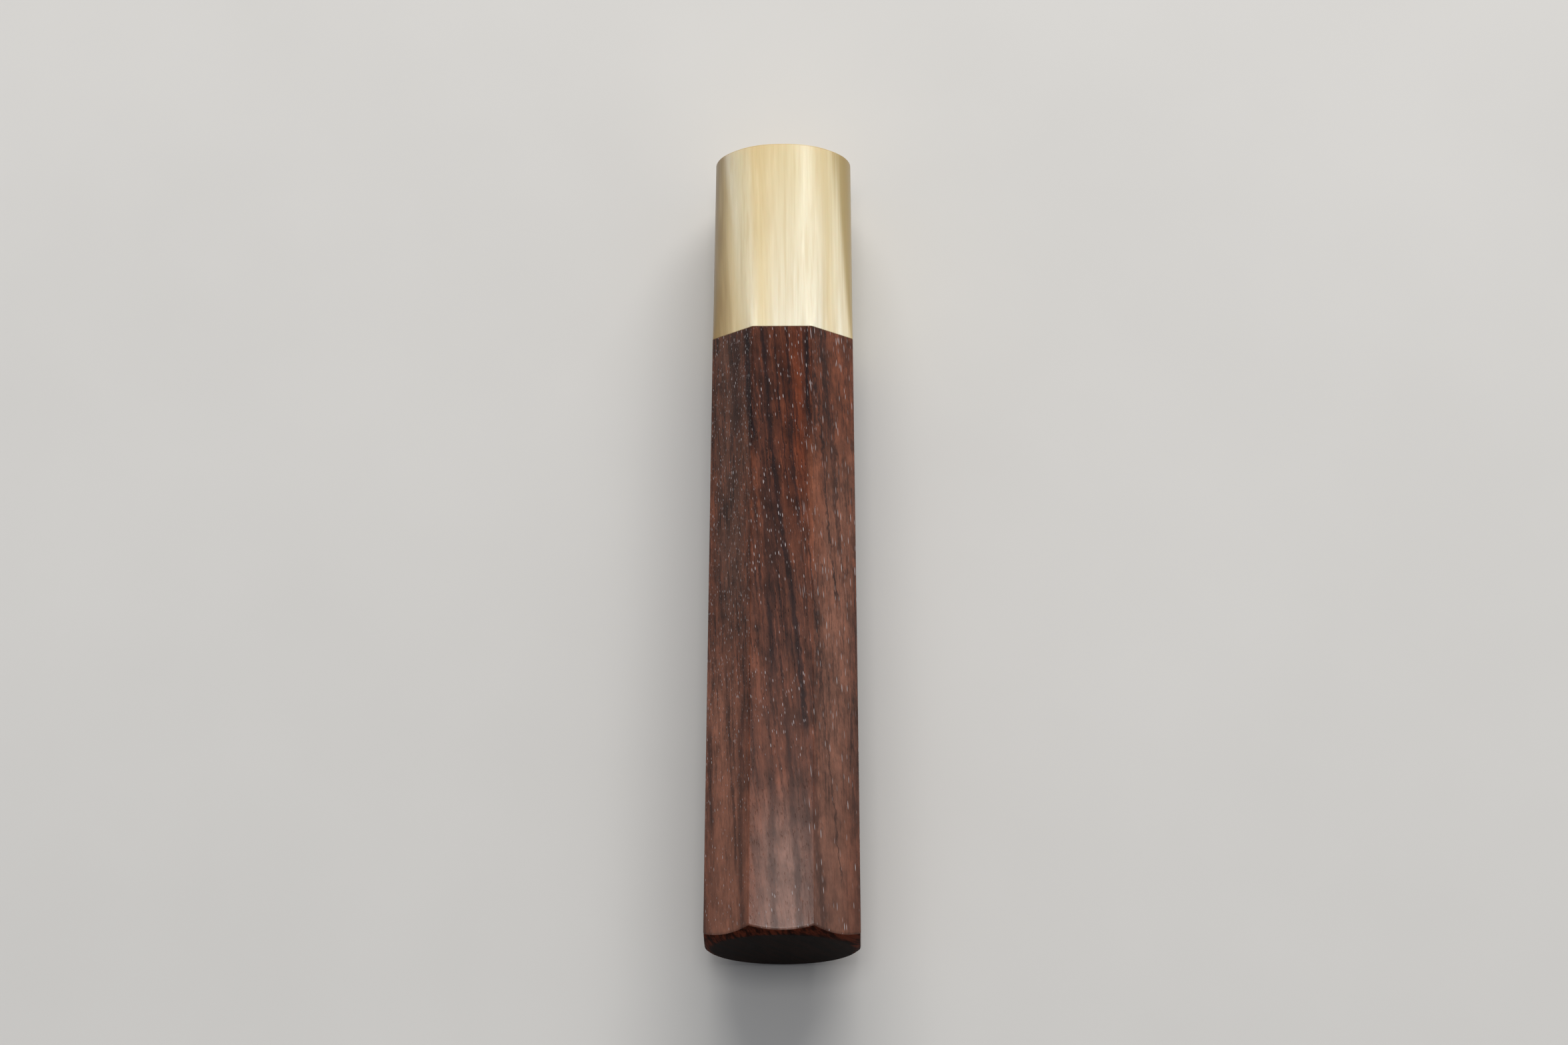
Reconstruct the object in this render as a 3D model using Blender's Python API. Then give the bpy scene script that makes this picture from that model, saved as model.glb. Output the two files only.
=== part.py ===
"""An octagonal rosewood knife handle with a horn ferrule, lying on its bottom facet.

The body tapers in a straight line to the ferrule, which starts as the same octagon and ends in an
oval. A dowel, made as two glued halves with the slot for a blade's tang between them, runs through
the ferrule and on into the body's blind bore.

Frame: metres. +Y runs along the handle from the butt to the ferrule, +Z is up from the surface the
handle lies on, and the origin is on that surface, below the middle of the handle. Each piece is
modelled on the handle's own axis and hangs on an empty that tips that axis until the bottom facet
is level.
"""
import math

import bmesh
import bpy

MM = 0.001

# Driving dimensions.
BODY_LENGTH = 102.5 * MM
FERRULE_LENGTH = 32.5 * MM
BUTT_WIDTH = 25.5 * MM
FRONT_WIDTH = 22.8 * MM
HEIGHT_SHARE = 1.05          # height of every section over its width
CORNER_SHARE = 0.291         # leg of each 45 degree corner facet over the section's width
EDGE_RADIUS = 0.4 * MM       # of the hand-softened edges between facets
GLUE_GAP = 0.3 * MM          # left for glue between neighbouring solids

RIM_INSET = 0.85 * MM        # from the middle of a butt facet in to the oval end face
RIM_SLOPE = 1.4              # how much the butt's rim widens for each unit along the handle
RIM_LENGTH = 2.5 * MM        # of the cone that cuts the rim, which ends outside the octagon
FRONT_BREAK = 0.25 * MM      # chamfer round the ferrule's front
FRONT_ROUND_SHARE = 0.90     # of the corner facets, how much the ferrule's front rounds away

BORE_DIAMETER = 14.0 * MM
BORE_IN_BODY = 61.0 * MM     # depth to the drill's shoulder
DRILL_ANGLE = 118.0          # degrees across the drill's point
DOWEL_IN_BODY = 59.5 * MM
DOWEL_END_BREAK = 0.6 * MM
SLOT_WIDTH = 4.6 * MM
SLOT_HEIGHT = 11.0 * MM
SLOT_DEPTH = 85.0 * MM       # from the ferrule's front face

EDGE_STEPS = 3               # segments round each edge of the body
FERRULE_EDGE_STEPS = 8       # segments round each edge of the ferrule
FERRULE_STEPS = 14           # segments along the ferrule
ROUND_STEPS = 64             # segments in a full circle

# Places along the handle's axis, measured from its middle.
LENGTH = BODY_LENGTH + FERRULE_LENGTH
BUTT_Y = -LENGTH / 2
JOINT_Y = BUTT_Y + BODY_LENGTH
FRONT_Y = LENGTH / 2

BORE_RADIUS = BORE_DIAMETER / 2
OVERCUT = 5 * MM             # how far a cutter runs past the face it opens


def width_at(y):
    """Width of the handle's section, which falls evenly from the butt to the front."""
    return BUTT_WIDTH + (FRONT_WIDTH - BUTT_WIDTH) * (y - BUTT_Y) / LENGTH


def octagon(y, radius, steps):
    """The section at y as (x, z) points, counterclockwise, with its corners rounded to radius."""
    half_width = width_at(y) / 2
    half_height = half_width * HEIGHT_SHARE
    leg = width_at(y) * CORNER_SHARE
    quarter = [(half_width, half_height - leg), (half_width - leg, half_height)]
    upper = quarter + [(-x, z) for x, z in reversed(quarter)]
    corners = upper + [(-x, -z) for x, z in upper]
    turn = math.radians(45)
    to_centre = radius / math.cos(turn / 2)
    points = []
    for index, (x, z) in enumerate(corners):
        facing = turn * index
        centre_x = x - to_centre * math.cos(facing + turn / 2)
        centre_z = z - to_centre * math.sin(facing + turn / 2)
        for step in range(steps + 1):
            angle = facing + turn * step / steps
            points.append((centre_x + radius * math.cos(angle), centre_z + radius * math.sin(angle)))
    return points


def ellipse(half_width, half_height):
    angles = [2 * math.pi * step / ROUND_STEPS for step in range(ROUND_STEPS)]
    return [(half_width * math.cos(a), half_height * math.sin(a)) for a in angles]


def loft(name, sections):
    """A closed mesh through (y, outline) sections, given from the lowest y to the highest."""
    shape = bmesh.new()
    rings = [[shape.verts.new((x, y, z)) for x, z in outline] for y, outline in sections]
    for low, high in zip(rings, rings[1:]):
        for index in range(len(low)):
            shape.faces.new((low[index - 1], high[index - 1], high[index], low[index]))
    shape.faces.new(rings[0])
    shape.faces.new(reversed(rings[-1]))
    bmesh.ops.recalc_face_normals(shape, faces=shape.faces)
    mesh = bpy.data.meshes.new(name)
    shape.to_mesh(mesh)
    shape.free()
    return mesh


def place(name, mesh, axis, material=None):
    """A piece of the handle on its tipped axis. One with no material is a cutter."""
    piece = bpy.data.objects.new(name, mesh)
    bpy.context.scene.collection.objects.link(piece)
    piece.parent = axis
    if material:
        mesh.shade_smooth()
        mesh.set_sharp_from_angle(angle=math.radians(30))
        mesh.materials.append(material)
    else:
        piece.hide_render = True
        piece.display_type = "WIRE"
    return piece


def cut(piece, cutter, operation="DIFFERENCE"):
    boolean = piece.modifiers.new(cutter.name, "BOOLEAN")
    boolean.object = cutter
    boolean.operation = operation


def surface(name, colour, roughness):
    """A plain finish with no metal in it."""
    material = bpy.data.materials.new(name)
    material.use_nodes = True
    shader = material.node_tree.nodes["Principled BSDF"]
    shader.inputs["Base Color"].default_value = (*colour, 1)
    shader.inputs["Roughness"].default_value = roughness
    shader.inputs["Metallic"].default_value = 0
    material.diffuse_color = (*colour, 1)
    return material


def clear_scene():
    for item in list(bpy.data.objects):
        bpy.data.objects.remove(item)


def tipped_axis():
    """The empty that holds the handle's axis, tipped so that the bottom facet lies level."""
    drop = (BUTT_WIDTH - FRONT_WIDTH) / 2 * HEIGHT_SHARE
    tip = math.atan(drop / LENGTH)
    middle_height = (BUTT_WIDTH + FRONT_WIDTH) / 4 * HEIGHT_SHARE
    axis = bpy.data.objects.new("handle_axis", None)
    bpy.context.scene.collection.objects.link(axis)
    axis.location = (0, 0, middle_height * math.cos(tip))
    axis.rotation_euler = (-tip, 0, 0)
    return axis


def bore_cutter(axis):
    """The drilled bore: through the ferrule and down to a drill point in the body."""
    shoulder = JOINT_Y - BORE_IN_BODY
    point = shoulder - BORE_RADIUS / math.tan(math.radians(DRILL_ANGLE / 2))
    tip_radius = 0.2 * MM
    tip_y = point + tip_radius / math.tan(math.radians(DRILL_ANGLE / 2))
    sections = [
        (tip_y, ellipse(tip_radius, tip_radius)),
        (shoulder, ellipse(BORE_RADIUS, BORE_RADIUS)),
        (FRONT_Y + OVERCUT, ellipse(BORE_RADIUS, BORE_RADIUS)),
    ]
    return place("cutter_bore", loft("cutter_bore", sections), axis)


def rim_cutter(axis):
    """What the butt is kept inside of: a cone that opens from the oval end face past the octagon."""
    def oval(widening):
        half_width = BUTT_WIDTH / 2 - RIM_INSET + widening
        return ellipse(half_width, half_width * HEIGHT_SHARE)

    opening = RIM_LENGTH * RIM_SLOPE
    sections = [
        (BUTT_Y, oval(0)),
        (BUTT_Y + RIM_LENGTH, oval(opening)),
        (JOINT_Y + OVERCUT, oval(opening)),
    ]
    return place("cutter_rim", loft("cutter_rim", sections), axis)


def slot_cutter(axis):
    """The tang slot, open at the front and reaching across both halves of the dowel."""
    x, z = SLOT_WIDTH / 2, SLOT_HEIGHT / 2
    outline = [(x, -z), (x, z), (-x, z), (-x, -z)]
    sections = [(FRONT_Y - SLOT_DEPTH, outline), (FRONT_Y + OVERCUT, outline)]
    return place("cutter_slot", loft("cutter_slot", sections), axis)


def handle_body(axis, rim, bore, material):
    ends = (BUTT_Y - OVERCUT, JOINT_Y - GLUE_GAP / 2)
    sections = [(y, octagon(y, EDGE_RADIUS, EDGE_STEPS)) for y in ends]
    body = place("handle_body", loft("handle_body", sections), axis, material)
    cut(body, rim, "INTERSECT")
    cut(body, bore)
    return body


def horn_ferrule(axis, bore, material):
    """A ring whose edges start as sharp as the body's and round away until the front is an oval."""
    def section(y):
        full_radius = width_at(y) * CORNER_SHARE * math.sqrt(0.5) / math.tan(math.radians(22.5))
        fade = FRONT_ROUND_SHARE * math.sqrt((y - JOINT_Y) / FERRULE_LENGTH)
        return octagon(y, EDGE_RADIUS + (full_radius - EDGE_RADIUS) * fade, FERRULE_EDGE_STEPS)

    start, end = JOINT_Y + GLUE_GAP / 2, FRONT_Y - FRONT_BREAK
    places = [start + (end - start) * (step / FERRULE_STEPS) ** 2 for step in range(FERRULE_STEPS + 1)]
    sections = [(y, section(y)) for y in places]
    inset = 1 - FRONT_BREAK / (FRONT_WIDTH / 2)
    sections.append((FRONT_Y, [(x * inset, z * inset) for x, z in section(FRONT_Y)]))
    ferrule = place("horn_ferrule", loft("horn_ferrule", sections), axis, material)
    cut(ferrule, bore)
    return ferrule


def dowel_half(name, side, axis, slot, material):
    """Half of the round dowel, on the side -1 or +1, with its share of the tang slot."""
    def half_round(radius):
        flat = side * GLUE_GAP / 2
        reach = math.acos(flat * side / radius)
        steps = ROUND_STEPS // 2
        angles = [reach * (2 * step / steps - 1) for step in range(steps + 1)]
        return [(side * radius * math.cos(a), radius * math.sin(a)) for a in angles]

    radius = BORE_RADIUS - GLUE_GAP
    back = JOINT_Y - DOWEL_IN_BODY
    sections = [
        (back, half_round(radius - DOWEL_END_BREAK)),
        (back + DOWEL_END_BREAK, half_round(radius)),
        (FRONT_Y, half_round(radius)),
    ]
    half = place(name, loft(name, sections), axis, material)
    cut(half, slot)
    return half


def main():
    clear_scene()
    rosewood = surface("rosewood", (0.085, 0.03, 0.02), 0.42)
    horn = surface("horn", (0.78, 0.68, 0.45), 0.3)
    dowel_wood = surface("dowel_wood", (0.62, 0.45, 0.26), 0.6)
    axis = tipped_axis()
    bore = bore_cutter(axis)
    slot = slot_cutter(axis)
    handle_body(axis, rim_cutter(axis), bore, rosewood)
    horn_ferrule(axis, bore, horn)
    dowel_half("dowel_half_left", -1, axis, slot, dowel_wood)
    dowel_half("dowel_half_right", 1, axis, slot, dowel_wood)


main()
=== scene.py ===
"""Looks of an octagonal rosewood knife handle with a horn ferrule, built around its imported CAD.

Every piece is modelled on the handle's own axis, in metres, with +Y from the butt to the ferrule and
+Z up, and its mesh is then turned onto the tipped axis that the CAD has. The materials turn each point
back, so that they work in millimetres on the handle's own axis.
"""

import math

import bmesh
import bpy
from mathutils import Matrix, Vector, noise


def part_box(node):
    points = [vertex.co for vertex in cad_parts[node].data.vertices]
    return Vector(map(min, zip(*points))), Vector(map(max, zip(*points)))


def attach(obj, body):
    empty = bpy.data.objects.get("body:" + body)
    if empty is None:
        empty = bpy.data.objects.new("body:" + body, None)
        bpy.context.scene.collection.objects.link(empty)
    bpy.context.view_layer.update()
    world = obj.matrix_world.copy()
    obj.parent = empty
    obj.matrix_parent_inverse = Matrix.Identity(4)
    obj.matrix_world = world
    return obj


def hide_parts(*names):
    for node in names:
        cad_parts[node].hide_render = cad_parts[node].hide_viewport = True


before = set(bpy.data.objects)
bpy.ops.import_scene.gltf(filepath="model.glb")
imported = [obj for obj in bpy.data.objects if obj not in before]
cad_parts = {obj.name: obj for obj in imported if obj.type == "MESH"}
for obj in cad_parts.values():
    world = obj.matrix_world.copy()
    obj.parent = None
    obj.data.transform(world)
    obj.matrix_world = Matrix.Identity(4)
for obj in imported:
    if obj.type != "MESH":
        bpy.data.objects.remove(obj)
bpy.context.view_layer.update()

MM = 0.001

# The handle's dimensions, as in the CAD.
BODY_LENGTH = 102.5 * MM
FERRULE_LENGTH = 32.5 * MM
BUTT_WIDTH = 25.5 * MM
FRONT_WIDTH = 22.8 * MM
HEIGHT_SHARE = 1.05
CORNER_SHARE = 0.291
EDGE_RADIUS = 0.4 * MM
RIM_INSET = 0.85 * MM
RIM_SLOPE = 1.4
FRONT_BREAK = 0.25 * MM
FRONT_ROUND_SHARE = 0.90
BORE_RADIUS = 7.0 * MM
BORE_IN_BODY = 61.0 * MM
DRILL_ANGLE = 118.0
DOWEL_IN_BODY = 59.5 * MM
SLOT_WIDTH = 4.6 * MM
SLOT_HEIGHT = 11.0 * MM
SLOT_DEPTH = 85.0 * MM

LENGTH = BODY_LENGTH + FERRULE_LENGTH
BUTT_Y = -LENGTH / 2
JOINT_Y = BUTT_Y + BODY_LENGTH
FRONT_Y = LENGTH / 2
END_HALF_WIDTH = BUTT_WIDTH / 2 - RIM_INSET


def handle_axis():
    """Where the handle's own axis lies: through the middle of the round dowel, tipped by the taper."""
    tip = math.atan((BUTT_WIDTH - FRONT_WIDTH) / 2 * HEIGHT_SHARE / LENGTH)
    low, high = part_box("dowel_half_left")
    middle = (low + high) / 2
    height = middle.z + middle.y * math.tan(tip)
    return Matrix.Translation((0, 0, height)) @ Matrix.Rotation(-tip, 4, "X")


AXIS = handle_axis()

# Details finer than the CAD's.
GLUE_LINE = 0.08 * MM        # thickness of the glue that shows
GLUE_RECESS = 0.03 * MM      # how far it lies below the surface
JOINT_BREAK = 0.05 * MM      # how far the ferrule's edge at the joint is broken
BORE_BREAK = 0.1 * MM        # how far the edge of the ferrule's bore is broken
DRILL_TIP = 0.2 * MM         # radius of the bore's blunt end
DOWEL_BREAK = 0.5 * MM       # length of the taper at the dowel's back end
DOWEL_TAPER = 0.92           # width of that end over the dowel's
RIM_ROUND = 0.50 * MM        # how far each softened edge of the butt reaches along the handle
RIM_SHARE = 0.4              # how much of the rim's own width it may take up
DOME = 0.04 * MM             # how much the butt's end face is crowned
SANDING = 0.03 * MM          # unevenness that hand sanding left in the facets
CROWN = 0.03 * MM            # how far the facets fall away at the butt
CROWN_LENGTH = 30 * MM       # over what length they do
JOINT_FACE_SHARE = 0.996     # size of the body's joint face over its section there
END_GRAIN_REACH = 0.2 * MM   # how far the end grain's look reaches past the rim's edge
SHARP_ANGLE = math.radians(40)


# ---------------------------------------------------------------- shapes

def width_at(y):
    """Width of the handle's section, which falls evenly from the butt to the front."""
    return BUTT_WIDTH + (FRONT_WIDTH - BUTT_WIDTH) * (y - BUTT_Y) / LENGTH


def outline(y, radius, edge_steps, facet_steps):
    """The octagon at y as (x, z) points, its corners rounded to radius, its facets subdivided."""
    half_width = width_at(y) / 2
    half_height = half_width * HEIGHT_SHARE
    leg = width_at(y) * CORNER_SHARE
    quarter = [(half_width, half_height - leg), (half_width - leg, half_height)]
    upper = quarter + [(-x, z) for x, z in reversed(quarter)]
    corners = upper + [(-x, -z) for x, z in upper]
    turn = math.radians(45)
    to_centre = radius / math.cos(turn / 2)
    arcs = []
    for index, (x, z) in enumerate(corners):
        facing = turn * index
        centre_x = x - to_centre * math.cos(facing + turn / 2)
        centre_z = z - to_centre * math.sin(facing + turn / 2)
        angles = [facing + turn * step / edge_steps for step in range(edge_steps + 1)]
        arcs.append([(centre_x + radius * math.cos(a), centre_z + radius * math.sin(a)) for a in angles])
    points = []
    for arc, following in zip(arcs, arcs[1:] + arcs[:1]):
        points += arc
        start, end = arc[-1], following[0]
        for step in range(1, facet_steps):
            share = 0.5 - 0.5 * math.cos(math.pi * step / facet_steps)
            points.append(tuple(a + (b - a) * share for a, b in zip(start, end)))
    return points


def circle_beside(points, radius):
    """Points on a circle, each at the angle of one of the given (x, z) points."""
    return [(x * radius / math.hypot(x, z), z * radius / math.hypot(x, z)) for x, z in points]


def at(y, points):
    return [Vector((x, y, z)) for x, z in points]


def between(start, end, share):
    return start + (end - start) * share


def eased(before, corner, after, steps=4):
    """A soft curve that rounds the corner between two points."""
    shares = [step / steps for step in range(steps + 1)]
    return [between(between(before, corner, s), between(corner, after, s), s) for s in shares]


def skin(name, rings, closed=False):
    """A mesh through rings of equally many points. Its ends are joined if closed, or else filled."""
    shape = bmesh.new()
    rows = [[shape.verts.new(point) for point in ring] for ring in rings]
    for low, high in zip(rows, rows[1:] + (rows[:1] if closed else [])):
        for index in range(len(low)):
            shape.faces.new((low[index - 1], high[index - 1], high[index], low[index]))
    if not closed:
        shape.faces.new(rows[0])
        shape.faces.new(reversed(rows[-1]))
    bmesh.ops.remove_doubles(shape, verts=shape.verts, dist=1e-7)
    bmesh.ops.recalc_face_normals(shape, faces=shape.faces)
    mesh = bpy.data.meshes.new(name)
    shape.to_mesh(mesh)
    shape.free()
    return mesh


def sanded(point):
    """The point moved inward by what hand sanding took off, which is more at the butt."""
    across, along = 70, 28       # how fast the unevenness changes, per metre
    place = Vector((point.x * across, point.y * along, point.z * across))
    taken = SANDING * (0.5 + 0.5 * noise.noise(place))
    nearness = max(0.0, 1 - (point.y - BUTT_Y) / CROWN_LENGTH)
    inward = Vector((-point.x, 0, -point.z)).normalized()
    return point + inward * (taken + CROWN * nearness ** 2)


def out_from_axis(point):
    """How far out a point is, as the half width of the oval on which it lies."""
    return math.hypot(point.x, point.z / HEIGHT_SHARE)


def body_column(ahead, behind, rows):
    """Points down one line of the body, from its joint face to the middle of the butt's end face."""
    out = out_from_axis(behind)
    rim_y = BUTT_Y + (out - END_HALF_WIDTH) / RIM_SLOPE
    rim = sanded(between(behind, ahead, (rim_y - BUTT_Y) / BODY_LENGTH))
    inset = END_HALF_WIDTH / out
    oval = Vector((behind.x * inset, BUTT_Y + DOME, behind.z * inset))
    centre = Vector((0, BUTT_Y, 0))
    along = (ahead - rim).normalized()
    down = (oval - rim).normalized()
    inward = (centre - oval).normalized()
    round_off = min(RIM_ROUND, RIM_SHARE * (oval - rim).length)
    facet_end = rim_y + RIM_ROUND
    column = []
    for row in range(rows, 0, -1):
        y = facet_end + (JOINT_Y - facet_end) * row / rows
        column.append(sanded(between(behind, ahead, (y - BUTT_Y) / BODY_LENGTH)))
    column += eased(rim + along * RIM_ROUND, rim, rim + down * round_off)
    column += [between(rim, oval, 0.5)]
    column += eased(oval - down * round_off, oval, oval + inward * RIM_ROUND)
    for share in (0.2, 0.4, 0.6, 0.8, 0.96):
        point = between(oval, centre, share)
        point.y = BUTT_Y + DOME * (1 - share) ** 2
        column.append(point)
    return column


def body_mesh():
    """The octagonal body: its bore, its joint face, its long facets and its softened butt."""
    edge_steps, facet_steps, rows = 5, 14, 60
    joint_y = JOINT_Y - GLUE_LINE / 2
    front = at(joint_y, outline(JOINT_Y, EDGE_RADIUS, edge_steps, facet_steps))
    back = at(BUTT_Y, outline(BUTT_Y, EDGE_RADIUS, edge_steps, facet_steps))
    columns = [body_column(ahead, behind, rows) for ahead, behind in zip(front, back)]
    bore = circle_beside([(point.x, point.z) for point in front], BORE_RADIUS)
    shoulder = JOINT_Y - BORE_IN_BODY
    tip_y = shoulder - (BORE_RADIUS - DRILL_TIP) / math.tan(math.radians(DRILL_ANGLE / 2))
    joint_face = [(point.x * JOINT_FACE_SHARE, point.z * JOINT_FACE_SHARE) for point in front]
    rings = [at(tip_y, circle_beside(bore, DRILL_TIP)), at(shoulder, bore), at(joint_y, bore)]
    rings += [at(joint_y, joint_face)]
    rings += [list(ring) for ring in zip(*columns)]
    return skin("rosewood_body", rings)


def full_radius(y):
    """The edge radius at y that would turn each corner facet into a round."""
    return width_at(y) * CORNER_SHARE * math.sqrt(0.5) / math.tan(math.radians(22.5))


def ferrule_mesh():
    """The horn ring: as crisp as the body at the joint, and rounding away to an oval front."""
    edge_steps, facet_steps, rows = 12, 10, 40

    def section(y, inset=0.0):
        rounding = FRONT_ROUND_SHARE * math.sqrt((y - JOINT_Y) / FERRULE_LENGTH)
        radius = EDGE_RADIUS + (full_radius(y) - EDGE_RADIUS) * rounding
        scale = 1 - inset / (FRONT_WIDTH / 2)
        return [(x * scale, z * scale) for x, z in outline(y, radius, edge_steps, facet_steps)]

    start, end = JOINT_Y + GLUE_LINE / 2, FRONT_Y - FRONT_BREAK
    rings = [at(start, section(start, JOINT_BREAK))]
    for row in range(rows + 1):
        y = start + (end - start) * (row / rows) ** 2
        lies_at = y + JOINT_BREAK if row == 0 else y
        rings.append([sanded(point) for point in at(lies_at, section(y))])
    for angle in (22.5, 45, 67.5, 90):
        turned = math.radians(angle)
        inset = FRONT_BREAK * (1 - math.cos(turned))
        rings.append(at(end + FRONT_BREAK * math.sin(turned), section(end, inset)))
    bore = circle_beside(section(FRONT_Y), BORE_RADIUS)
    bore_edge = circle_beside(section(FRONT_Y), BORE_RADIUS + BORE_BREAK)
    rings += [at(FRONT_Y, bore_edge), at(FRONT_Y - BORE_BREAK, bore), at(start, bore)]
    return skin("horn_ring", rings, closed=True)


def dowel_mesh(name, side):
    """Half of the dowel, on the side -1 or +1, with its share of the tang slot."""
    radius = BORE_RADIUS - GLUE_LINE
    flat = GLUE_LINE / 2
    steps = 40
    reach = math.acos(flat / radius)
    angles = [reach * (2 * step / steps - 1) for step in range(steps + 1)]
    arc = [(radius * math.cos(a), radius * math.sin(a)) for a in angles]
    x, z = SLOT_WIDTH / 2, SLOT_HEIGHT / 2
    slotted = arc + [(flat, z), (x, z), (x, -z), (flat, -z)]
    whole = arc + [(flat, z), (flat, z), (flat, -z), (flat, -z)]
    back, floor_y = JOINT_Y - DOWEL_IN_BODY, FRONT_Y - SLOT_DEPTH
    rings = [
        at(back, [(px * DOWEL_TAPER, pz * DOWEL_TAPER) for px, pz in whole]),
        at(back + DOWEL_BREAK, whole),
        at(floor_y, whole),
        at(floor_y, slotted),
        at(FRONT_Y, slotted),
    ]
    return skin(name, [[Vector((side * p.x, p.y, p.z)) for p in ring] for ring in rings])


def joint_glue_mesh():
    """The glue film between the body and the ferrule, a little below the surface."""
    edge_steps, facet_steps = 5, 14
    edge = outline(JOINT_Y, EDGE_RADIUS, edge_steps, facet_steps)
    scale = 1 - GLUE_RECESS / (width_at(JOINT_Y) / 2)
    edge = [(x * scale, z * scale) for x, z in edge]
    inner = circle_beside(edge, BORE_RADIUS)
    low, high = JOINT_Y - GLUE_LINE / 2, JOINT_Y + GLUE_LINE / 2
    rings = [at(low, inner), at(low, edge), at(high, edge), at(high, inner)]
    return skin("joint_glue", rings, closed=True)


def dowel_glue_mesh():
    """The glue sleeve between the dowel and the bore. It stops a little short of both ends."""
    steps, back_gap, front_gap = 96, 1 * MM, 0.12 * MM
    angles = [2 * math.pi * step / steps for step in range(steps)]
    circle = [(math.cos(a), math.sin(a)) for a in angles]
    outer = circle_beside(circle, BORE_RADIUS)
    inner = circle_beside(circle, BORE_RADIUS - GLUE_LINE)
    low, high = JOINT_Y - DOWEL_IN_BODY + back_gap, FRONT_Y - front_gap
    rings = [at(low, inner), at(low, outer), at(high, outer), at(high, inner)]
    return skin("dowel_glue", rings, closed=True)


# ---------------------------------------------------------------- materials

class Material:
    """A node material being built. Each method adds a node and returns its output."""

    def __init__(self, name, **sockets):
        self.made = bpy.data.materials.new(name)
        self.made.use_nodes = True
        self.tree = self.made.node_tree
        self.shader = self.tree.nodes["Principled BSDF"]
        for socket, value in sockets.items():
            self.shader.inputs[socket.replace("_", " ")].default_value = value

    def node(self, kind, inputs, output=0, **settings):
        node = self.tree.nodes.new("ShaderNode" + kind)
        for name, value in settings.items():
            setattr(node, name, value)
        for key, value in inputs.items():
            if isinstance(value, bpy.types.NodeSocket):
                self.tree.links.new(value, node.inputs[key])
            else:
                node.inputs[key].default_value = value
        return node.outputs[output]

    def math(self, operation, first, second=0.0, clamp=False):
        return self.node("Math", {0: first, 1: second}, operation=operation, use_clamp=clamp)

    def add(self, *terms):
        """The sum of (factor, value) terms."""
        total = 0.0
        for factor, value in terms:
            total = self.node("Math", {0: value, 1: factor, 2: total}, operation="MULTIPLY_ADD")
        return total

    def ramp(self, value, low, high, start=0.0, end=1.0):
        """From start to end, smoothly, as value goes from low to high."""
        inputs = {"Value": value, "From Min": low, "From Max": high, "To Min": start, "To Max": end}
        return self.node("MapRange", inputs, interpolation_type="SMOOTHSTEP")

    def ramp_straight(self, value, low, high):
        """From 0 to 1, straight, as value goes from low to high."""
        return self.node("MapRange", {"Value": value, "From Min": low, "From Max": high})

    def mix(self, factor, first, second):
        return self.node("Mix", {0: factor, 6: first, 7: second}, 2, data_type="RGBA")

    def noise(self, vector, scale, detail=2.0, roughness=0.5):
        inputs = {"Vector": vector, "Scale": scale, "Detail": detail, "Roughness": roughness}
        return self.node("TexNoise", inputs, "Fac")

    def vector(self, x, y, z):
        return self.node("CombineXYZ", {0: x, 1: y, 2: z})

    def millimetres(self):
        """The point on the handle's own axis as x, y and z in millimetres."""
        point = self.node("TexCoord", {}, "Object")
        inputs = {"Vector": point, "Location": AXIS.translation, "Rotation": AXIS.to_euler()}
        inputs["Scale"] = (MM, MM, MM)
        untipped = self.node("Mapping", inputs, vector_type="TEXTURE")
        split = self.node("SeparateXYZ", {0: untipped}).node
        return split.outputs[0], split.outputs[1], split.outputs[2]

    def curve(self, value, points):
        """A smooth curve through (value, result) points, each from 0 to 1."""
        node = self.tree.nodes.new("ShaderNodeFloatCurve")
        self.tree.links.new(value, node.inputs["Value"])
        mapping = node.mapping
        mapping.use_clip = False
        line = mapping.curves[0]
        while len(line.points) < len(points):
            line.points.new(0.5, 0.5)
        for point, place in zip(line.points, points):
            point.location = place
            point.handle_type = "AUTO"
        mapping.update()
        return node.outputs[0]

    def colours(self, value, stops):
        """A colour ramp through (value, colour) stops, from 0 to 1."""
        node = self.tree.nodes.new("ShaderNodeValToRGB")
        self.tree.links.new(value, node.inputs[0])
        ramp = node.color_ramp
        while len(ramp.elements) < len(stops):
            ramp.elements.new(0.5)
        for element, (place, colour) in zip(ramp.elements, stops):
            element.position = place
            element.color = (*colour, 1)
        return node.outputs[0]

    def bump(self, height, depth):
        """Connects a bump of the given depth in metres."""
        normal = self.node("Bump", {"Strength": 1.0, "Distance": depth, "Height": height})
        self.tree.links.new(normal, self.shader.inputs["Normal"])

    def finish(self, colour, roughness):
        self.tree.links.new(colour, self.shader.inputs["Base Color"])
        self.tree.links.new(roughness, self.shader.inputs["Roughness"])
        return self.made


# The rosewood's growth layers lean across the handle and slant along it.
LEAN = 0.5                   # of a layer, sideways for each unit down
SLANT = 0.1                  # of a layer, sideways for each unit along
LAYER_SPAN = 40.0            # mm of layers that the streaks' curves cover, half on each side
WANDER = 0.9                 # mm, how far the layers wander to either side
ZONE_FADE = 18               # mm over which a zone fades out at its ends
STREAK_FADE = 6              # mm over which a dark streak does

GROUND_DARK = (0.074, 0.027, 0.017, 1)
GROUND_RED = (0.150, 0.052, 0.030, 1)
THREAD_LIGHT = (0.200, 0.068, 0.040, 1)
STREAK_DARK = (0.008, 0.0035, 0.0045, 1)
FIBRE_DARK = (0.018, 0.006, 0.005, 1)
FIBRE_LIGHT = (0.20, 0.072, 0.042, 1)
HOLLOW_DARK = (0.008, 0.004, 0.004, 1)
# Painted glints of light in the pores: pale flecks of varying brightness.
PORE_GLINT_PAINTED = (0.46, 0.41, 0.42, 1)
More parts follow.
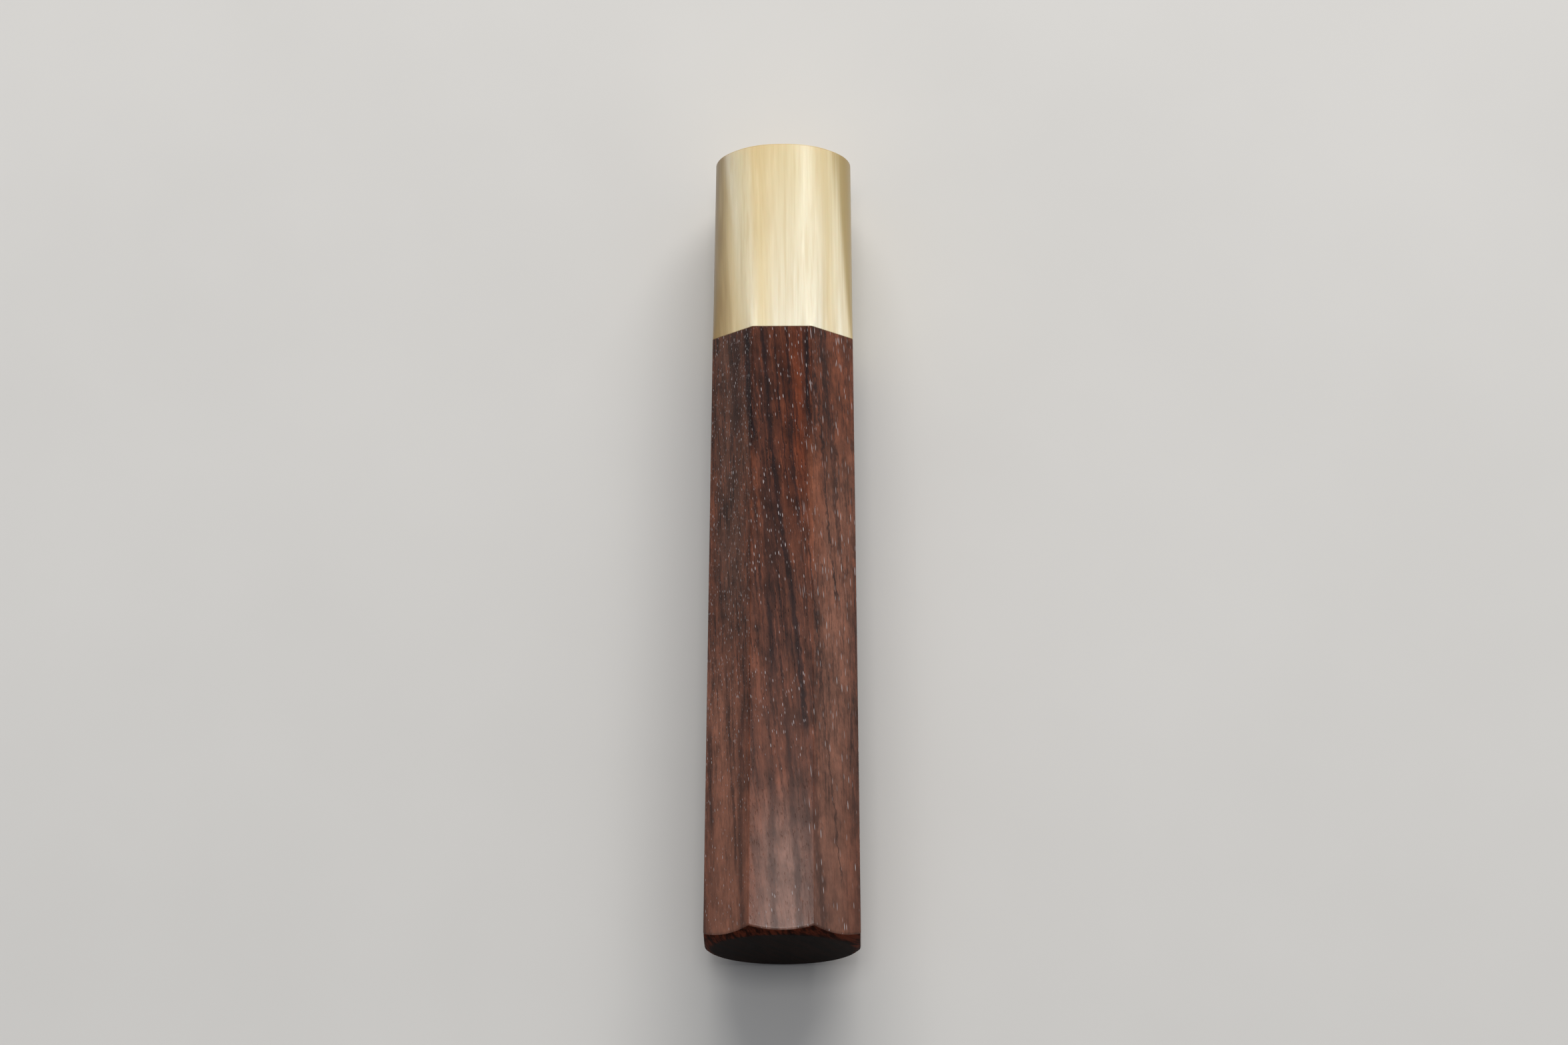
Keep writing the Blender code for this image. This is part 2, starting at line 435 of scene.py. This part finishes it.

# The figure of the wood. First the broad zones of ground colour: colour, half width in mm, strength,
# and where each runs, as points (x, y) in mm on the top and the two upper corner facets, from the
# ferrule towards the butt; the pale pinkish-grey zone near the butt is painted sheen, not ground colour.
# Then the dark streaks: half width, strength, and points.
ZONES = [
    ((0.068, 0.019, 0.010), 5.0, 0.90, (1.5, 44), (2.0, 15), (2.0, -6)),
    ((0.086, 0.043, 0.031), 3.2, 0.85, (-9.3, 48), (-8.6, 10), (-7.6, -24)),
    ((0.045, 0.017, 0.012), 2.4, 0.85, (-4.2, 46), (-3.4, 22), (-1.8, 4), (-1.0, -14), (-1.0, -40)),
    ((0.190, 0.085, 0.057), 3.8, 0.85, (10.4, 22), (9.0, 0), (8.6, -25), (8.0, -52), (7.6, -80)),
    ((0.240, 0.098, 0.062), 4.0, 0.85, (-11.4, -14), (-9.8, -32), (-9.0, -50), (-8.8, -84)),
    # Painted sheen: pale pinkish-grey down the middle of the top facet near the butt.
    ((0.230, 0.130, 0.104), 5.6, 0.90, (-0.2, -40), (0.4, -58), (0.4, -84)),
    ((0.230, 0.088, 0.052), 1.2, 0.75, (4.8, 22), (5.0, 8), (5.8, -12)),
    ((0.140, 0.036, 0.017), 1.0, 0.70, (2.2, 42), (2.6, 22), (3.2, 2)),
    ((0.180, 0.080, 0.052), 0.9, 0.75, (-7.2, 32), (-6.4, 18), (-5.6, 2)),
]
DARK_STREAKS = [
    (0.70, 0.95, (-6.0, 38), (-5.3, 22), (-4.6, 12)),
    (1.20, 0.65, (-8.4, 38), (-7.6, 26), (-7.0, 14)),
    (0.60, 0.85, (-3.4, 38), (-2.5, 24), (-1.6, 12), (-0.1, 0), (1.7, -11), (2.9, -23), (4.1, -37)),
    (0.35, 0.85, (-1.6, 38), (-0.9, 26), (-0.3, 16)),
    (0.60, 0.95, (3.8, 38), (4.2, 27), (4.6, 15)),
    (0.30, 0.75, (0.6, 38), (1.2, 26), (1.9, 12), (2.8, -2)),
    (0.45, 0.65, (5.8, 38), (7.4, 22), (8.8, 8), (9.6, -6)),
    (0.30, 0.70, (3.6, 2), (4.8, -8), (5.8, -18), (6.6, -30)),
    (0.25, 0.90, (7.8, -2), (8.6, -8), (9.2, -14)),
    (0.22, 0.75, (4.6, 34), (6.0, 20), (7.4, 6), (8.4, -6)),
    (0.20, 0.65, (7.0, 32), (8.3, 18), (9.3, 4), (9.9, -10)),
    (0.25, 0.60, (6.6, -24), (7.2, -33), (8.6, -50), (9.8, -61)),
    (0.55, 0.70, (-11.8, -30), (-11.6, -41), (-11.2, -52)),
    (0.30, 0.60, (-9.4, -20), (-8.4, -35), (-7.7, -47), (-7.2, -59)),
    (0.65, 0.55, (-6.4, -28), (-6.7, -46), (-6.4, -60), (-6.2, -74)),
    (0.85, 0.54, (0.6, -30), (1.6, -46), (2.6, -58), (3.2, -74)),
    (0.80, 0.50, (-1.8, -38), (-1.4, -54), (-1.0, -74)),
    (0.60, 0.80, (-3.0, -8), (-2.0, -16), (-1.2, -26)),
    (0.90, 0.54, (4.5, -34), (5.4, -48), (6.2, -58), (6.9, -74)),
]


def layer_of(x, y):
    """The growth layer that shows at (x, y), in mm, on the top or an upper corner facet."""
    width = width_at(y * MM) / MM
    beyond_top = max(0.0, abs(x) - width * (0.5 - CORNER_SHARE))
    top = width / 2 * HEIGHT_SHARE - beyond_top
    return x + LEAN * top + SLANT * y


def streak(material, layer, y, row, fade):
    """How strongly a streak shows at a layer, from 0 to 1. It fades out over fade mm at both ends."""
    half_width, strength, *points = row
    along = material.ramp_straight(y, BUTT_Y / MM, JOINT_Y / MM)
    curve = []
    for px, py in reversed(points):
        curve.append(((py * MM - BUTT_Y) / BODY_LENGTH, layer_of(px, py) / LAYER_SPAN + 0.5))
    middle_x, middle_y = points[len(points) // 2]
    half_width *= layer_of(middle_x + 0.5, middle_y) - layer_of(middle_x - 0.5, middle_y)
    centre = material.math("SUBTRACT", material.curve(along, curve), 0.5)
    centre = material.math("MULTIPLY", centre, LAYER_SPAN)
    offset = material.math("ABSOLUTE", material.math("SUBTRACT", layer, centre))
    shown = material.ramp(offset, half_width * 0.2, half_width * 1.2, strength, 0)
    first, last = points[-1][1], points[0][1]
    shown = material.math("MULTIPLY", shown, material.ramp(y, first - 1, first + fade - 1))
    return material.math("MULTIPLY", shown, material.ramp(y, last - fade + 1, last + 1, 1, 0))


def pore_field(material, layer, y, z, size):
    """Vessels cut by the surface, as (with a painted pale glint of light, empty and dark), each from 0
    to 1.

    size is their spacing across and along in mm, their radius over that spacing, and the share of
    them that is empty at the ferrule. More are empty towards the butt.
    """
    across, along, radius, empty_share = size
    vector = material.vector(
        material.math("DIVIDE", layer, across),
        material.math("DIVIDE", y, along),
        material.math("DIVIDE", z, across),
    )
    cell = material.node("TexVoronoi", {"Vector": vector, "Scale": 1.0, "Randomness": 1.0}).node
    chance = material.node("SeparateColor", {0: cell.outputs["Color"]}).node
    reach = material.ramp(chance.outputs[0], 0.0, 1.0, radius * 0.5, radius)
    pore = material.ramp(material.math("SUBTRACT", reach, cell.outputs["Distance"]), -0.02, 0.12)
    emptiness = material.ramp(y, -58, -5, empty_share + 0.45, empty_share)
    # The vessels that show a painted pale glint; the rest stay empty and dark.
    filled = material.math("GREATER_THAN", chance.outputs[2], emptiness)
    pale = material.math("MULTIPLY", pore, material.ramp(chance.outputs[1], 0.1, 0.95, 0.12, 1))
    pale = material.math("MULTIPLY", pale, filled)
    empty = material.math("SUBTRACT", pore, filled, clamp=True)
    return pale, empty


def rosewood():
    material = Material("rosewood_satin", IOR=1.36)
    x, y, z = material.millimetres()
    layer = material.add((1, x), (LEAN, z), (SLANT, y))

    def grain(across, stretch, scale, detail=2.0, roughness=0.5):
        """Noise drawn out along the handle, the more so the smaller stretch is."""
        place = material.vector(across, material.math("MULTIPLY", y, stretch), z)
        return material.noise(place, scale, detail, roughness)

    # Slow wander of the layers, so that no streak is ruled straight.
    drift = grain(layer, 0.16, 0.35, 3)
    feather = grain(layer, 0.35, 1.5, 4, 0.55)
    wandered = material.add((1, layer), (WANDER, drift), (WANDER, feather))
    wandered = material.math("SUBTRACT", wandered, WANDER)

    bands = grain(wandered, 0.035, 0.42, 3, 0.55)
    lines = grain(wandered, 0.02, 1.8, 3, 0.6)
    threads = grain(wandered, 0.018, 3.6, 2, 0.5)
    fibres = grain(wandered, 0.06, 4.5, 3, 0.65)
    mottle = grain(layer, 0.35, 0.9, 4, 0.65)
    clouds = grain(layer, 0.6, 0.30, 3, 0.6)

    # The ground colour, in zones, one of which is painted sheen on the top near the butt.
    ground = material.mix(material.ramp(bands, 0.38, 0.66), GROUND_DARK, GROUND_RED)
    for colour, *row in ZONES:
        shown = streak(material, wandered, y, row, ZONE_FADE)
        shown = material.math("MULTIPLY", shown, material.ramp(bands, 0.25, 0.55, 0.7, 1.0))
        ground = material.mix(shown, ground, (*colour, 1))

    # The dark figure and the light threads, both of which calm down towards the butt.
    clear = material.ramp(y, -62, -25, 0.35, 1.0)
    dark = material.math("MULTIPLY", clear, material.ramp(lines, 0.48, 0.70, 0, 0.72))
    for row in DARK_STREAKS:
        dark = material.math("MAXIMUM", dark, streak(material, wandered, y, row, STREAK_FADE))
    dark = material.math("MULTIPLY", dark, material.ramp(fibres, 0.30, 0.48, 0.70, 1.0))
    dark = material.math("MULTIPLY", dark, material.ramp(mottle, 0.3, 0.5, 0.8, 1.0))
    dark_threads = material.math("MULTIPLY", clear, material.ramp(threads, 0.53, 0.70, 0, 0.45))
    dark = material.math("MAXIMUM", dark, dark_threads)
    light = material.math("MULTIPLY", clear, material.ramp(threads, 0.46, 0.34, 0, 0.42))
    ground = material.mix(light, ground, THREAD_LIGHT)
    colour = material.mix(dark, ground, STREAK_DARK)

    # Fibres, then slow unevenness in brightness and a little more colour towards the ferrule.
    fine = material.math("MULTIPLY", clear, material.ramp(fibres, 0.48, 0.74, 0, 0.34))
    colour = material.mix(fine, colour, FIBRE_DARK)
    colour = material.mix(material.ramp(fibres, 0.46, 0.28, 0, 0.25), colour, FIBRE_LIGHT)
    fine_uneven = material.ramp(mottle, 0.3, 0.7, -0.28, 0.30)
    broad_uneven = material.ramp(clouds, 0.36, 0.64, -0.20, 0.20)
    uneven = material.add((1, fine_uneven), (1, broad_uneven))
    calm = material.ramp(y, -62, -25, 0.65, 1.0)
    value = material.math("ADD", material.math("MULTIPLY", uneven, calm), 1.0)
    depth = material.ramp(y, -30, 20, 1.0, 1.07)
    colour = material.node("HueSaturation", {"Value": value, "Saturation": depth, "Color": colour})

    # Pores: short on the top, shorter on the left and long on the right.
    pores, hollows = 0.0, 0.0
    across_top = material.ramp(x, 7.0, 3.5)
    left = material.ramp(x, -3.5, -6.0)
    right = material.ramp(x, 2.0, 5.0)
    fields = (
        (across_top, (0.29, 1.35, 0.29, 0.36)),
        (left, (0.31, 0.90, 0.30, 0.36)),
        (right, (0.27, 5.0, 0.28, 0.12)),
    )
    for share, size in fields:
        pale, empty = pore_field(material, layer, y, z, size)
        pores = material.math("MAXIMUM", pores, material.math("MULTIPLY", pale, share))
        hollows = material.math("MAXIMUM", hollows, material.math("MULTIPLY", empty, share))
    hollow_shade = material.math("MULTIPLY", hollows, material.ramp(y, -58, -20, 0.05, 0.6))
    colour = material.mix(hollow_shade, colour, HOLLOW_DARK)
    # The pale flecks in the pores are painted glints of light.
    colour = material.mix(material.math("MULTIPLY", pores, 0.9), colour, PORE_GLINT_PAINTED)

    height = material.add((0.35, fibres), (-0.7, pores), (-0.7, hollows))
    material.bump(height, 0.05 * MM)
    roughness = material.add((0.10, fibres), (0.05, mottle), (0.2, pores))
    roughness = material.math("ADD", roughness, 0.17)
    return material.finish(colour, roughness)


def end_grain():
    """The butt's end face and its rim, where wood cut across drinks the oil and turns dark and dull.
    Their near-black and dark reds are also partly painted shade.
    """
    material = Material("rosewood_end_grain", IOR=1.15, Specular_IOR_Level=0.2)
    x, y, z = material.millimetres()
    layer = material.add((1, x), (LEAN, z))
    rings = material.noise(material.vector(layer, y, material.math("MULTIPLY", z, 0.12)), 1.1, 4, 0.6)
    vessels = material.node("TexVoronoi", {"Vector": material.vector(x, y, z), "Scale": 1.9}, "Distance")
    pores = material.ramp(vessels, 0.10, 0.16, 1, 0)
    flat = material.math("DIVIDE", z, HEIGHT_SHARE)
    out = material.math("SQRT", material.add((x, x), (flat, flat)))
    edge = END_HALF_WIDTH / MM
    rim = material.ramp(material.add((1, out), (1.2, rings)), edge + 0.1, edge + 1.0)
    # The near-black face and the dark reds of the rim are partly the end grain's own colour and partly
    # painted shade.
    black, brown = (0.007, 0.0045, 0.004, 1), (0.018, 0.010, 0.008, 1)
    dark_red, bright_red = (0.020, 0.006, 0.004, 1), (0.105, 0.024, 0.012, 1)
    face = material.mix(material.ramp(rings, 0.35, 0.65), black, brown)
    red = material.mix(material.ramp(rings, 0.38, 0.62), dark_red, bright_red)
    colour = material.mix(rim, face, red)
    colour = material.mix(pores, colour, (0.003, 0.002, 0.002, 1))
    material.bump(material.add((0.3, rings), (-0.7, pores)), 0.06 * MM)
    return material.finish(colour, material.math("ADD", material.add((0.2, rings)), 0.55))


# The horn's colours across its top, as x in mm and colour, at the joint and at the front.
HORN_AT_JOINT = [
    (-9.0, (0.70, 0.54, 0.30)),
    (-6.6, (0.78, 0.65, 0.40)),
    (-4.8, (0.87, 0.79, 0.60)),
    (-3.4, (0.80, 0.68, 0.43)),
    (-1.0, (0.85, 0.78, 0.60)),
    (3.5, (0.88, 0.82, 0.65)),
    (6.4, (0.88, 0.82, 0.65)),
    (8.0, (0.82, 0.69, 0.44)),
    (9.6, (0.92, 0.86, 0.68)),
    (11.4, (0.76, 0.64, 0.41)),
]
HORN_AT_FRONT = [
    (-10.6, (0.68, 0.56, 0.34)),
    (-9.3, (0.80, 0.73, 0.55)),
    (-7.4, (0.78, 0.68, 0.44)),
    (-5.0, (0.74, 0.58, 0.31)),
    (-1.5, (0.71, 0.58, 0.33)),
    (1.5, (0.73, 0.62, 0.38)),
    (3.8, (0.86, 0.78, 0.56)),
    (6.8, (0.69, 0.56, 0.31)),
    (8.8, (0.74, 0.64, 0.41)),
    (10.2, (0.50, 0.39, 0.20)),
]
HORN_LEAN = 0.12             # of a layer, sideways for each unit down
HORN_FAN = 0.020             # how fast the layers bend outward towards the front, per mm
HORN_MIDDLE = 3.0            # mm, where they run straight
HORN_SPAN = 32.0             # mm of layers that the colour ramps cover
HORN_DRIFT = 0.04            # of the colour ramps, how far the colours drift
LEFT_SKIN_X = -7.45          # mm, the edge of the left skin and its painted shade, before the drift moves it 2 mm outward
RIGHT_SKIN_X = 15.4          # mm, the right skin's edge at y = 0, before it moves 1 mm inward
RIGHT_SKIN_SLOPE = 0.09      # mm that the right edge comes inward for each mm along the handle

HORN_STREAK = (0.60, 0.45, 0.22, 1)
HORN_HAIR = (0.60, 0.46, 0.24, 1)
HORN_CLOUD = (0.60, 0.45, 0.24, 1)
LEFT_SKIN_AND_SHADE = (0.200, 0.118, 0.038, 1)
RIGHT_SKIN = (0.360, 0.250, 0.083, 1)
# Painted shade for the front edge of the horn.
FRONT_PAINTED_SHADE = (0.30, 0.23, 0.11, 1)


def horn_place(x, forward):
    """Where the point at x mm on the top falls on the ramps, at the joint (0) or the front (1)."""
    y = JOINT_Y + FERRULE_LENGTH * forward
    width = width_at(y) / MM
    beyond_top = max(0.0, abs(x) - width * (0.5 - CORNER_SHARE))
    top = width / 2 * HEIGHT_SHARE - beyond_top
    layer = x + HORN_FAN * forward * (x - HORN_MIDDLE) ** 2 + HORN_LEAN * top
    return layer / HORN_SPAN + 0.5


def horn():
    material = Material("horn_satin", Subsurface_Weight=0.08, Subsurface_Scale=0.002, IOR=1.28)
    x, y, z = material.millimetres()
    forward = material.ramp_straight(y, JOINT_Y / MM, FRONT_Y / MM)
    aside = material.math("SUBTRACT", x, HORN_MIDDLE)
    spread = material.math("MULTIPLY", material.math("MULTIPLY", aside, aside), forward)
    layer = material.add((1, x), (HORN_FAN, spread), (HORN_LEAN, z))
    stretched = material.math("MULTIPLY", y, 0.03)
    drift = material.noise(material.vector(layer, stretched, z), 0.5, 2)
    fibres = material.noise(material.vector(layer, stretched, z), 1.7, 3, 0.55)
    hairs = material.noise(material.vector(layer, material.math("MULTIPLY", y, 0.015), z), 5.0, 2, 0.5)
    clouds = material.noise(material.vector(layer, material.math("MULTIPLY", y, 0.12), z), 0.5, 3)

    place = material.add((1 / HORN_SPAN, layer), (HORN_DRIFT, drift))
    place = material.math("ADD", place, 0.5 - HORN_DRIFT / 2)
    at_joint = [(horn_place(across, 0), tint) for across, tint in HORN_AT_JOINT]
    at_front = [(horn_place(across, 1), tint) for across, tint in HORN_AT_FRONT]
    colour = material.mix(forward, material.colours(place, at_joint), material.colours(place, at_front))
    colour = material.mix(material.ramp(fibres, 0.48, 0.74, 0, 0.32), colour, HORN_STREAK)
    lighter = material.node("HueSaturation", {"Value": 1.2, "Saturation": 0.85, "Color": colour})
    colour = material.mix(material.ramp(fibres, 0.5, 0.25, 0, 0.40), colour, lighter)
    colour = material.mix(material.ramp(hairs, 0.5, 0.75, 0, 0.14), colour, HORN_HAIR)
    colour = material.mix(material.ramp(clouds, 0.5, 0.8, 0, 0.25), colour, HORN_CLOUD)

    # The browner skin of the horn, left on both sides; on the left it is partly painted shade on the
    # side away from the light. On the right it widens towards the front.
    skin_shift = material.add((3.0, drift), (1.0, fibres))
    left = material.math("SUBTRACT", material.math("ADD", x, skin_shift), LEFT_SKIN_X)
    # On the left the brown is partly real skin and partly painted shade.
    colour = material.mix(material.ramp(left, 1.6, -1.8, 0, 0.80), colour, LEFT_SKIN_AND_SHADE)
    right = material.add((1, x), (RIGHT_SKIN_SLOPE, y), (0.5, skin_shift))
    right = material.math("SUBTRACT", right, RIGHT_SKIN_X)
    colour = material.mix(material.ramp(right, -0.6, 0.8, 0, 0.70), colour, RIGHT_SKIN)

    # The front, cut across the fibres, is darkened with painted shade where its edge catches the key
    # light.
    front = (FRONT_Y - FRONT_BREAK) / MM
    front_shade = material.ramp(y, front - 0.05, front + 0.1, 0, 0.6)
    colour = material.mix(front_shade, colour, FRONT_PAINTED_SHADE)
    material.bump(material.add((0.6, fibres), (0.4, hairs)), 0.008 * MM)
    roughness = material.math("ADD", material.add((0.12, fibres)), 0.24)
    return material.finish(colour, roughness)


def pale_wood():
    material = Material("dowel_wood_bare")
    x, y, z = material.millimetres()
    rings = material.noise(material.vector(x, material.math("MULTIPLY", y, 0.05), z), 0.9, 4, 0.6)
    fibres = material.noise(material.vector(x, material.math("MULTIPLY", y, 0.04), z), 6.0, 3, 0.6)
    tan, cream, brown = (0.50, 0.36, 0.20, 1), (0.66, 0.52, 0.33, 1), (0.34, 0.22, 0.11, 1)
    colour = material.mix(material.ramp(rings, 0.35, 0.65), tan, cream)
    colour = material.mix(material.ramp(fibres, 0.5, 0.8, 0, 0.6), colour, brown)
    material.bump(fibres, 0.04 * MM)
    return material.finish(colour, material.math("ADD", material.add((0.2, fibres)), 0.5))


def glue():
    material = Material("glue_amber")
    x, y, z = material.millimetres()
    grain = material.noise(material.vector(x, y, z), 1.2, 3)
    brown, amber = (0.10, 0.05, 0.02, 1), (0.28, 0.16, 0.06, 1)
    colour = material.mix(material.ramp(grain, 0.3, 0.7), brown, amber)
    return material.finish(colour, material.math("ADD", material.add((0.2, grain)), 0.3))


def pale_floor():
    material = Material("floor_pale", Specular_IOR_Level=0.1)
    x, y, z = material.millimetres()
    grain = material.noise(material.vector(x, y, z), 0.02, 4)
    colour = material.mix(grain, (0.60, 0.595, 0.585, 1), (0.66, 0.655, 0.645, 1))
    return material.finish(colour, material.math("ADD", material.add((0.1, grain)), 0.6))


# ---------------------------------------------------------------- assembly

def add_piece(mesh, materials, replaced=None):
    """Turns a mesh onto the tipped axis and adds it, in place of the CAD node replaced."""
    mesh.transform(AXIS)
    mesh.shade_smooth()
    mesh.set_sharp_from_angle(angle=SHARP_ANGLE)
    for material in materials:
        mesh.materials.append(material)
    piece = bpy.data.objects.new(mesh.name, mesh)
    bpy.context.scene.collection.objects.link(piece)
    weighted = piece.modifiers.new("weighted_normals", "WEIGHTED_NORMAL")
    weighted.keep_sharp = True
    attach(piece, "root")
    if replaced:
        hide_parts(replaced)
    return piece


def is_end_grain(face):
    """Whether a face of the body is on the butt: on the rim, or on the end face inside it."""
    centre = AXIS.inverted() @ face.center
    rim = END_HALF_WIDTH + RIM_SLOPE * (centre.y - BUTT_Y)
    on_rim = out_from_axis(centre) > rim - END_GRAIN_REACH
    faces_back = face.normal.y < -0.9
    return on_rim or faces_back


def add_handle():
    bare_wood = pale_wood()
    amber = glue()
    body = add_piece(body_mesh(), [rosewood(), end_grain()], "handle_body")
    for face in body.data.polygons:
        face.material_index = is_end_grain(face)
    add_piece(ferrule_mesh(), [horn()], "horn_ferrule")
    add_piece(dowel_mesh("dowel_left", -1), [bare_wood], "dowel_half_left")
    add_piece(dowel_mesh("dowel_right", 1), [bare_wood], "dowel_half_right")
    add_piece(joint_glue_mesh(), [amber])
    add_piece(dowel_glue_mesh(), [amber])


def add_floor():
    shape = bmesh.new()
    bmesh.ops.create_grid(shape, x_segments=8, y_segments=8, size=3.0)
    mesh = bpy.data.meshes.new("floor")
    shape.to_mesh(mesh)
    shape.free()
    mesh.materials.append(pale_floor())
    floor = bpy.data.objects.new("floor", mesh)
    bpy.context.scene.collection.objects.link(floor)


def add_softbox(name, location, target, size, power, colour):
    """A rectangular light of the given size in metres and power in watts, turned to a target."""
    light = bpy.data.lights.new(name, "AREA")
    light.shape = "RECTANGLE"
    light.size, light.size_y = size
    light.energy = power
    light.color = colour
    lamp = bpy.data.objects.new(name, light)
    bpy.context.scene.collection.objects.link(lamp)
    lamp.location = location
    lamp.rotation_euler = (Vector(target) - Vector(location)).to_track_quat("-Z", "Y").to_euler()


def add_lights():
    """A large soft key behind the ferrule, a small softbox overhead and a faint one on the right."""
    warm, neutral, warmer = (1.0, 0.97, 0.92), (1.0, 0.97, 0.95), (1.0, 0.96, 0.9)
    add_softbox("key_behind", (0.15, 1.30, 0.85), (0, 0, 0), (1.6, 1.0), 33.0, warm)
    add_softbox("overhead", (-0.02, 0.03, 1.25), (-0.02, -0.03, 0), (0.36, 0.3), 2.7, neutral)
    add_softbox("side_right", (1.10, 0.25, 0.35), (0, 0, 0.02), (0.6, 0.5), 0.7, warmer)
    world = bpy.data.worlds.new("pale_room")
    world.use_nodes = True
    background = world.node_tree.nodes["Background"]
    background.inputs["Color"].default_value = (0.88, 0.93, 1.0, 1)
    background.inputs["Strength"].default_value = 0.23
    bpy.context.scene.world = world
    bpy.context.scene.view_settings.view_transform = "Standard"


def add_camera():
    """Looks steeply down on the handle from beyond its butt, a little from the right."""
    elevation, turn, roll = (math.radians(angle) for angle in (74.04, -3.13, -3.21))
    place = Vector((0.01158, -0.20408, 0.74377))
    level = math.cos(elevation)
    ahead = Vector((math.sin(turn) * level, math.cos(turn) * level, -math.sin(elevation)))
    right = Vector((math.cos(turn), -math.sin(turn), 0))
    up = right.cross(ahead)
    camera = bpy.data.objects.new("camera", bpy.data.cameras.new("camera"))
    camera.data.lens = 105
    camera.data.sensor_width = 36
    camera.data.clip_start = 0.01
    across = right * math.cos(roll) + up * math.sin(roll)
    upright = up * math.cos(roll) - right * math.sin(roll)
    turned = Matrix((across, upright, -ahead)).transposed().to_4x4()
    camera.matrix_world = Matrix.Translation(place) @ turned
    bpy.context.scene.collection.objects.link(camera)
    bpy.context.scene.camera = camera


add_handle()
add_floor()
add_lights()
add_camera()

bpy.context.view_layer.update()
